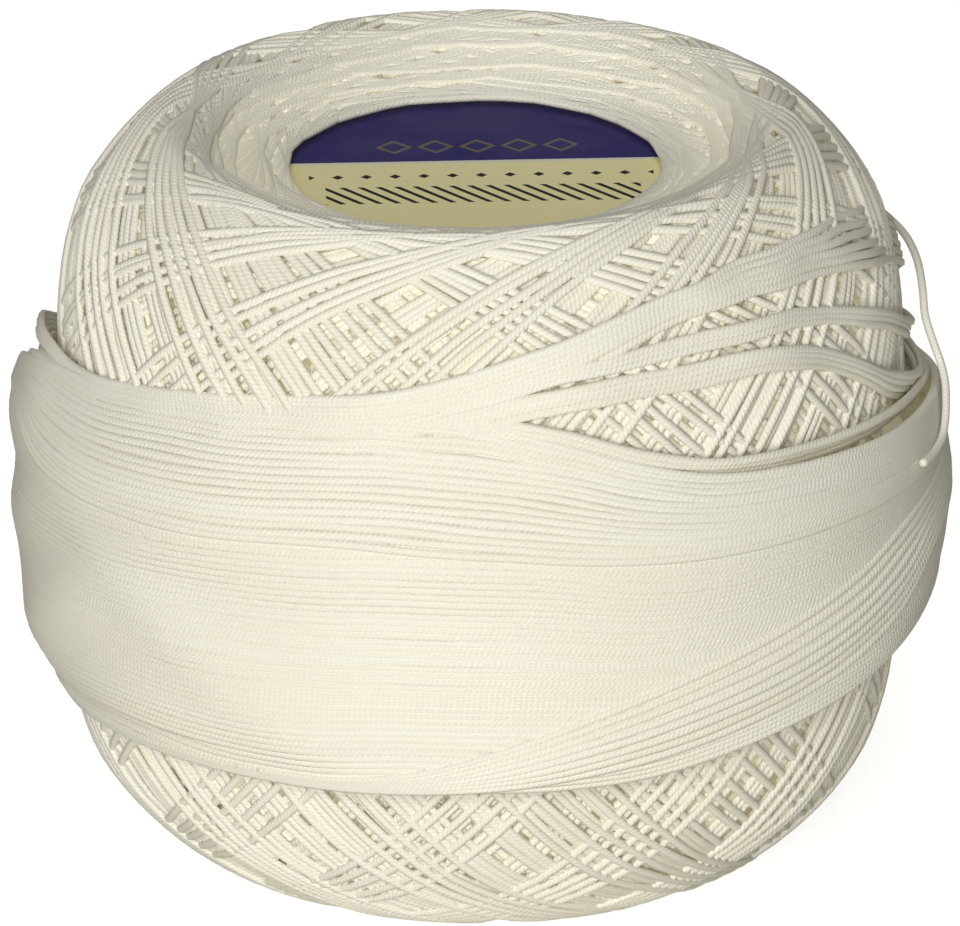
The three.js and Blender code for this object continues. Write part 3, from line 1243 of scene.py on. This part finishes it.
@dataclass
class WoundBody:
    """The wound thread: hidden inner turns as a smooth core, and the visible turns as tubes.

    Attributes:
        thread: the thread's sizes.
        middle: height of the ball's centre above the surface that it rests on.
        skin: the solid's surface.
        growth: the forms that the crossing passes start on and fill.
        bulk: the hidden turns of the middle band.
    """

    thread: Thread
    middle: float
    skin: SolidSkin
    growth: Growth = Growth()
    bulk: BandBulk = BandBulk()

    def crossings(self) -> list[CrossingPass]:
        """The steep passes that build the shoulders and the crown, from the lip outwards."""
        rows = (
            ("first", 110, 10.05, 0.6, 3), ("second", 120, 10.5, 1.0, 4), ("third", 150, 11.1, 1.3, 2),
            ("fourth", 150, 11.9, 1.5, 3), ("fifth", 150, 12.8, 1.7, 4), ("sixth", 140, 13.6, 1.9, 3),
            ("last", 60, 14.6, 2.0, 5),
        )
        ends = np.cumsum([0] + [row[1] for row in rows]) / sum(row[1] for row in rows)
        return [
            CrossingPass(f"{label}_crossings", turns, clear * MM, stray * MM, (ends[order], ends[order + 1]),
                         bunch)
            for order, (label, turns, clear, stray, bunch) in enumerate(rows)
        ]

    def upper_edge(self) -> list[Bundle]:
        """The bundles that leave the band's upper edge and fan out over the right shoulder."""
        piece = "shoulder_bundles"
        return [
            Bundle("highest", piece, 6, (
                (-130, -0.5, 1.0), (-112, 3.0, 4.4), (-100, 5.3, 6.6), (-90, 6.8, 7.9),
                (-79, 7.7, 8.5), (-68, 7.9, 8.6), (-56, 8.4, 9.3),
                (-36, 9.8, 10.9), (-17, 10.8, 12.1), (-3, 11.8, 13.3), (4, 12.4, 14.1),
                (17, 14.0, 15.5),
                (27, 15.0, 16.2), (38, 15.4, 16.7), (51, 15.2, 16.9), (68, 14.0, 16.6),
                (87, 11.5, 14.9),
                (120, 6.0, 8.0), (180, 3.0, 4.0),
            )),
            Bundle("second", piece, 3, (
                (-130, -1.2, -0.4), (-112, 2.0, 3.0), (-100, 4.4, 5.4), (-90, 6.1, 6.9),
                (-79, 7.4, 7.8), (-56, 8.4, 9.0), (-36, 9.6, 10.3),
                (-17, 10.6, 11.4), (3, 12.3, 13.0), (11, 13.2, 13.9), (21, 13.4, 14.1),
                (33, 13.6, 14.3),
                (45, 13.6, 14.2), (52, 13.0, 13.7), (60, 12.1, 12.8), (70, 10.6, 11.4), (89, 7.3, 8.1),
                (120, 5.0, 6.0), (180, 4.0, 5.0),
            )),
            Bundle("third", piece, 4, (
                (-130, -1.4, -0.6), (-112, 1.0, 1.5), (-100, 3.5, 4.0), (-90, 5.5, 6.0),
                (-79, 7.2, 7.6), (-56, 8.0, 8.8), (-36, 9.2, 10.0),
                (-17, 10.0, 11.0), (-3, 10.6, 11.6), (7, 11.5, 12.4), (17, 11.9, 12.9),
                (30, 11.8, 12.9),
                (40, 12.0, 12.9), (50, 11.0, 12.0), (60, 9.2, 10.2), (71, 6.7, 7.8), (90, 4.6, 5.6),
                (120, 4.0, 5.0), (180, 3.5, 4.5),
            )),
            Bundle("lowest", piece, 3, (
                (-130, -1.6, -0.8), (-112, 0.8, 1.3), (-100, 3.3, 3.8), (-90, 5.3, 5.8),
                (-79, 7.0, 7.5), (-56, 7.8, 8.6), (-36, 9.0, 9.8),
                (-10, 10.8, 11.6), (-3, 10.6, 11.4), (4, 10.4, 11.2), (10, 9.9, 10.7), (19, 8.6, 9.4),
                (24, 7.9, 8.7), (31, 7.4, 8.0), (40, 6.9, 7.5), (51, 6.5, 7.1), (67, 5.9, 6.5),
                (90, 4.6, 5.3), (110, 3.2, 3.9), (140, 2.2, 2.9), (180, 2.0, 3.0),
            )),
        ]

    def band(self) -> list[Bundle]:
        """The near-level turns of the middle band, in two layers."""
        edges = (
            (-130, -10.5, 0.2), (-112, -11.0, 1.8), (-100, -11.2, 4.0), (-90, -11.3, 5.8),
            (-79, -11.1, 7.2),
            (-70, -10.9, 7.8), (-52, -9.8, 8.4), (-36, -9.4, 9.3),
            (-19, -8.8, 10.1), (-10, -8.4, 10.4), (4, -8.3, 10.2), (10, -8.3, 9.7), (20, -8.2, 8.3),
            (31, -7.6, 7.2), (42, -6.9, 6.7), (52, -6.4, 6.2), (67, -5.6, 5.6),
            (90, -4.8, 4.6), (110, -4.8, 3.0), (140, -6.0, 2.4), (180, -7.5, 2.4),
        )
        return [
            Bundle("band_under", "band_turns", 54, edges, stand=0, stride=6),
            Bundle("band_over", "band_turns", 52, edges, downwards=True, waver=0.01 * MM, slide=0, stand=0,
                   stride=5),
        ]

    def last_turns(self) -> list[Bundle]:
        """The turns that lie on the band: the fan from the left and the one at the lower right."""
        piece = "fan_turns"
        return [
            Bundle("left_fan", piece, 17, (
                (-130, -2.5, 0.0), (-112, 0.0, 1.6), (-100, 2.6, 3.9), (-90, 4.5, 5.8),
                (-77, 4.6, 7.8), (-67, 3.9, 8.4),
                (-57, 3.7, 8.9), (-43, 4.0, 9.9), (-29, 4.5, 10.6), (-19, 4.9, 11.2), (-10, 4.9, 11.5),
                (2, 4.6, 11.0), (10, 4.3, 10.2), (20, 3.9, 8.6), (31, 3.6, 7.3), (51, 3.2, 6.3),
                (67, 2.8, 5.6), (90, 2.0, 4.6), (110, 0.5, 3.0), (140, -1.0, 2.4), (180, -1.0, 2.0),
            ), waver=0.04 * MM, stand=0.15 * MM),
            Bundle("right_fan", piece, 8, (
                (-110, -11.0, -10.2), (-70, -10.6, -10.0), (-40, -9.2, -8.7), (-10, -8.2, -7.4),
                (5, -7.8, -5.4),
                (14, -7.4, -4.0), (27, -6.7, -2.4), (35, -6.2, -1.6), (43, -5.7, -0.8), (53, -4.8, 0.1),
                (62, -3.7, 1.1), (73, -1.5, 1.5), (90, -1.0, 2.0), (130, -1.0, 1.5), (180, -5.0, -2.0),
            ), downwards=True),
        ]

    def build(self, cotton: bpy.types.Material, inner: bpy.types.Material) -> list[bpy.types.Object]:
        """Winds the ball and makes its pieces.

        Args:
            cotton: finish of the visible turns.
            inner: finish of the hidden ones.

        Returns:
            The pieces.
        """
        surface = HeightMap()
        winder = Winder(self.thread, surface, self.growth, self.skin)
        headings = surface.headings()
        surface.cover(self.growth.start.reach(latitude_of(headings)))
        for winding in self.crossings():
            winding.wind(winder)
            log.info("%s: %d turns", winding.name, winding.turns)
        surface.cover(self.bulk_reach(headings))
        for winding in self.upper_edge() + self.band() + self.last_turns():
            winding.wind(winder)
            log.info("%s: %d turns", winding.name, winding.turns)
        return [self.core(inner)] + self.tubes(winder, cotton)

    def bulk_reach(self, heading: np.ndarray) -> np.ndarray:
        """Distance of the band's hidden turns, which leave room for two more layers in the solid."""
        surface = self.skin.reach(heading)
        bulk = self.bulk.reach(heading, surface, self.band()[0].way)
        return np.minimum(bulk, surface - 1.5 * self.thread.diameter)

    def core(self, inner: bpy.types.Material) -> bpy.types.Object:
        """The smooth body of the hidden turns, with the hollow in its crown and a dimple below.

        Its wall lies a little under the starting form, and further under the band's bulk, at
        every latitude up to the crown, and its top turns in to the hollow's floor.

        Args:
            inner: its finish.

        Returns:
            The piece.
        """
        rows, columns, end = 90, 240, math.radians(52)
        latitude, azimuth = np.meshgrid(
            np.linspace(-end, end, rows), np.arange(columns) * 2 * math.pi / columns, indexing="ij")
        heading = directions(latitude, azimuth)
        under_start, under_bulk = 0.1 * MM, 0.9 * MM
        reach = np.maximum(self.growth.start.reach(latitude), self.bulk_reach(heading) - under_bulk)
        wall = heading * (reach - under_start)[..., None]
        turn = np.stack([np.cos(azimuth[0]), np.sin(azimuth[0]), np.zeros(columns)], axis=-1)
        rim, hollow, dimple = 11.0 * MM, 15.7 * MM, 17.8 * MM
        below = ((rim / 2, -dimple), (rim, -dimple))
        above = ((rim + 0.2 * MM, 16.2 * MM), (rim, hollow), (rim / 2, hollow))
        rings = [turn * r + np.array([0, 0, z]) for r, z in below]
        rings += list(wall)
        rings += [turn * r + np.array([0, 0, z]) for r, z in above]
        rings = np.stack(rings) + np.array([0, 0, self.middle])
        return place(capped_grid("inner_turns", rings, self.middle - dimple, self.middle + hollow), inner)

    def tubes(self, winder: Winder, cotton: bpy.types.Material) -> list[bpy.types.Object]:
        """Makes the stretches that show into one piece for each group."""
        centre = np.array([0, 0, self.middle])
        spare, hollow, glow_depth = 0.05 * MM, 11.0 * MM, 1.5 * MM
        groups: dict[str, TubeRuns] = {}
        for turn in winder.turns:
            runs = groups.setdefault(turn.group, TubeRuns(self.thread, centre))
            line = winder.centreline(turn)
            bare = winder.shows(turn, spare)
            from_axis = np.hypot(line[:, 0], line[:, 1])
            bare |= (from_axis < hollow) & (line[:, 2] > 0)
            # The depth sets the turn's painted glow, which is full 1.5 mm below the finished form.
            full = self.growth.finish.reach(latitude_of(turn.course.along))
            depth = (full - turn.reach) / glow_depth
            for stretch in stretches(bare):
                picked = np.append(stretch[:-1][:: turn.stride], stretch[-1]) % winder.samples
                runs.add(line[picked] + centre, turn.tone, depth[picked])
        pieces = []
        for name, runs in groups.items():
            triangles = sum(len(p) - 1 for p in runs.points) * 2 * self.thread.sides
            log.info("%s: %d stretches, %d triangles", name, len(runs.points), triangles)
            pieces.append(place(runs.mesh(name), cotton))
        return pieces


def stretches(bare: np.ndarray, shortest: int = 3) -> list[np.ndarray]:
    """Runs of samples that show, on a closed loop.

    Args:
        bare: one truth value for each sample.
        shortest: samples that a run needs.

    Returns:
        Sample numbers of each run, which may pass the loop's end.
    """
    count = len(bare)
    if bare.all():
        return [np.arange(count + 1)]
    if not bare.any():
        return []
    start = int(np.argmin(bare))
    rolled = np.roll(bare, -start)
    edges = np.flatnonzero(np.diff(np.concatenate([[0], rolled.astype(np.int8), [0]])))
    return [np.arange(a, b) + start for a, b in zip(edges[::2], edges[1::2]) if b - a >= shortest]


@dataclass
class LabelDisc:
    """The round card at the bottom of the hollow.

    Attributes:
        radius: half of its width.
        low: height of its underside.
        high: height of its face.
        edge: radius of its worn edge.
    """

    radius: float
    low: float
    high: float
    edge: float = 0.12 * MM

    def build(self, card: bpy.types.Material) -> bpy.types.Object:
        """Makes the disc with a rounded edge, as a profile turned about the axis."""
        columns, edge_points = 144, 5
        quarter = np.linspace(0, math.pi / 2, edge_points)
        low_edge = self.low + self.edge - self.edge * np.cos(quarter)
        high_edge = self.high - self.edge + self.edge * np.sin(quarter)
        out_low = self.radius - self.edge + self.edge * np.sin(quarter)
        out_high = self.radius - self.edge + self.edge * np.cos(quarter)
        radii = np.concatenate([[0, self.radius / 2], out_low, out_high, [self.radius / 2, 0]])
        heights = np.concatenate([[self.low, self.low], low_edge, high_edge, [self.high, self.high]])
        return place(revolve("printed_label", radii, heights, columns), card)


@dataclass
class LooseEnd:
    """The free end of the thread on the right side, along the route of its solid.

    Attributes:
        route: points of its centreline, in millimetres.
        sides: corners of its tube's section.
    """

    route: tuple[tuple[float, float, float], ...] = (
        (11.8, 20.5, 27.5), (13.7, 18.9, 28.2), (15.8, 16.9, 28.9), (17.7, 14.9, 29.5),
        (19.3, 12.6, 30.0),
        (20.6, 10.1, 30.3), (21.7, 7.5, 30.4), (22.6, 4.8, 30.3), (23.1, 2.3, 29.9), (23.3, 0.3, 29.1),
        (23.4, -0.9, 28.0), (23.8, -1.5, 26.8), (24.2, -2.1, 25.8), (24.4, -3.1, 25.1),
        (24.4, -4.3, 24.4),
        (24.3, -5.4, 23.8), (24.1, -6.5, 23.4), (23.8, -7.6, 23.3), (23.4, -8.8, 23.3),
        (22.9, -10.0, 23.4),
    )
    sides: int = 10

    def line(self, per_span: int = 8) -> np.ndarray:
        """Points on a smooth curve through the route, by centripetal Catmull-Rom spans."""
        knots = np.array(self.route) * MM
        ends = np.concatenate([[2 * knots[0] - knots[1]], knots, [2 * knots[-1] - knots[-2]]])
        share = np.linspace(0, 1, per_span, endpoint=False)[:, None, None]
        a, b, c, d = ends[:-3], ends[1:-2], ends[2:-1], ends[3:]
        curve = 0.5 * (2 * b + (c - a) * share + (2 * a - 5 * b + 4 * c - d) * share ** 2
                       + (3 * b - a - 3 * c + d) * share ** 3)
        return np.concatenate([curve.transpose(1, 0, 2).reshape(-1, 3), knots[-1:]])

    def build(self, middle: float, cotton: bpy.types.Material) -> tuple[bpy.types.Object, np.ndarray]:
        """Makes the tube.

        Args:
            middle: height of the ball's centre.
            cotton: its finish.

        Returns:
            The piece and its centreline.
        """
        line = self.line()
        runs = TubeRuns(Thread(sides=self.sides, flat=1, broad=1), np.array([0, 0, middle]))
        runs.add(line, tone=0.1, depth=np.zeros(len(line)))
        return place(runs.mesh("loose_thread"), cotton), line


@dataclass(frozen=True)
class Studio:
    """The camera, the floor and the lights.

    Attributes:
        elevation: the camera's angle above the horizon.
        distance: from the camera to the ball's centre.
        focal_pixels: the lens's length in pixels of the photo's frame.
        frame_size: the photo's width and height in pixels.
        nudge: how far the ball's centre lies right of and above the frame's middle, in pixels.
        floor_half: half of the floor's width.
        floor_colour: colour of the floor.
        floor_glow: light that the floor gives off.
        backdrop: how much brighter the floor looks to the camera, as a plain white ground.
        key_power: power of the light from the front and the left, in watts.
        top_power: power of the wide light overhead, in watts.
        surround: strength of the light from all round.
    """

    elevation: float = 23.0
    distance: float = 400 * MM
    focal_pixels: float = 7526.0
    frame_size: tuple[int, int] = (960, 926)
    nudge: tuple[float, float] = (0.2, 5.8)
    floor_half: float = 2.0
    floor_colour: tuple[float, float, float, float] = (0.60, 0.585, 0.53, 1)
    floor_glow: float = 0.06
    backdrop: float = 0.8
    key_power: float = 3.5
    top_power: float = 2.1
    surround: float = 0.04

    def camera(self, middle: float) -> None:
        """Makes the camera at the photo's viewing angle."""
        data = bpy.data.cameras.new("view")
        data.sensor_width = 36.0
        data.lens = self.focal_pixels * data.sensor_width / self.frame_size[0]
        data.shift_x = -self.nudge[0] / self.frame_size[0]
        data.shift_y = -self.nudge[1] / self.frame_size[0]
        data.clip_start, data.clip_end = 0.01, 10
        camera = bpy.data.objects.new("view", data)
        bpy.context.scene.collection.objects.link(camera)
        up = math.radians(self.elevation)
        back = Vector((0, -math.cos(up), math.sin(up)))
        camera.location = Vector((0, 0, middle)) + back * self.distance
        camera.rotation_euler = back.to_track_quat("Z", "Y").to_euler()
        bpy.context.scene.camera = camera

    def floor(self) -> None:
        """Lays the plain pale floor, which is lit a little from below as a light table is."""
        half = self.floor_half
        points = np.array([[-half, -half, 0], [half, -half, 0], [half, half, 0], [-half, half, 0]])
        mesh = mesh_of("floor", points, np.array([[0, 1, 2, 3]]))
        material, tree, shader = new_material("pale_floor")
        seen = tree.add("LightPath").outputs["Is Camera Ray"]
        lit, white = [(*[value] * 3, 1) for value in (self.floor_glow, self.backdrop)]
        tree.feed(shader, {"Base Color": self.floor_colour, "Roughness": 0.9,
                           "Emission Color": tree.mix(seen, lit, white), "Emission Strength": 1.0})
        place(mesh, material)

    def light(self, name: str, place_at: tuple[float, float, float], size: float, power: float,
              aim: Vector) -> None:
        """Adds one soft square light that faces a point."""
        data = bpy.data.lights.new(name, "AREA")
        data.size, data.energy = size, power
        lamp = bpy.data.objects.new(name, data)
        bpy.context.scene.collection.objects.link(lamp)
        lamp.location = place_at
        lamp.rotation_euler = (Vector(place_at) - aim).to_track_quat("Z", "Y").to_euler()

    def lights(self, middle: float) -> None:
        """Adds the soft studio lights, a dim surround and plain display colours."""
        aim = Vector((0, 0, middle))
        self.light("key", (-0.08, -0.58, 0.22), 0.4, self.key_power, aim)
        self.light("top", (0.0, 0.15, 0.9), 0.8, self.top_power, aim)
        world = bpy.data.worlds.new("surround")
        bpy.context.scene.world = world
        world.use_nodes = True
        background = world.node_tree.nodes["Background"]
        NodeTree(world.node_tree).feed(background, {"Color": (1, 1, 1, 1), "Strength": self.surround})
        bpy.context.scene.view_settings.view_transform = "Standard"


def main() -> None:
    """Builds the ball, its card and its loose end, and the studio round them."""
    body_low, body_high = (np.array(corner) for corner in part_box("wound_thread"))
    card_low, card_high = (np.array(corner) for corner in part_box("label_disc"))
    middle = float(body_low[2] + body_high[2]) / 2
    thread = Thread()
    studio = Studio()
    studio.camera(middle)

    groups = {"ply_twist": ply_twist_group(), "uneven_tone": uneven_tone_group()}
    cotton = CottonFinish("cotton_thread").material(groups)
    end_piece, line = LooseEnd().build(middle, cotton)
    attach(end_piece, BODY)
    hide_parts("loose_end")

    skin = SolidSkin(bpy.data.objects["wound_thread"], Vector((0, 0, middle)))
    pieces = WoundBody(thread, middle, skin).build(cotton, InnerTurnsFinish().material(groups))
    for piece in pieces:
        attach(piece, BODY)
        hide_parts("wound_thread")

    disc = LabelDisc((card_high[0] - card_low[0]) / 2, card_low[2], card_high[2])
    card = disc.build(CardFinish().material(groups))
    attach(card, BODY)
    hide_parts("label_disc")
    log.info("printed_label: %.1f mm across", 2 * disc.radius / MM)

    studio.floor()
    studio.lights(middle)


if __name__ == "__main__":
    main()
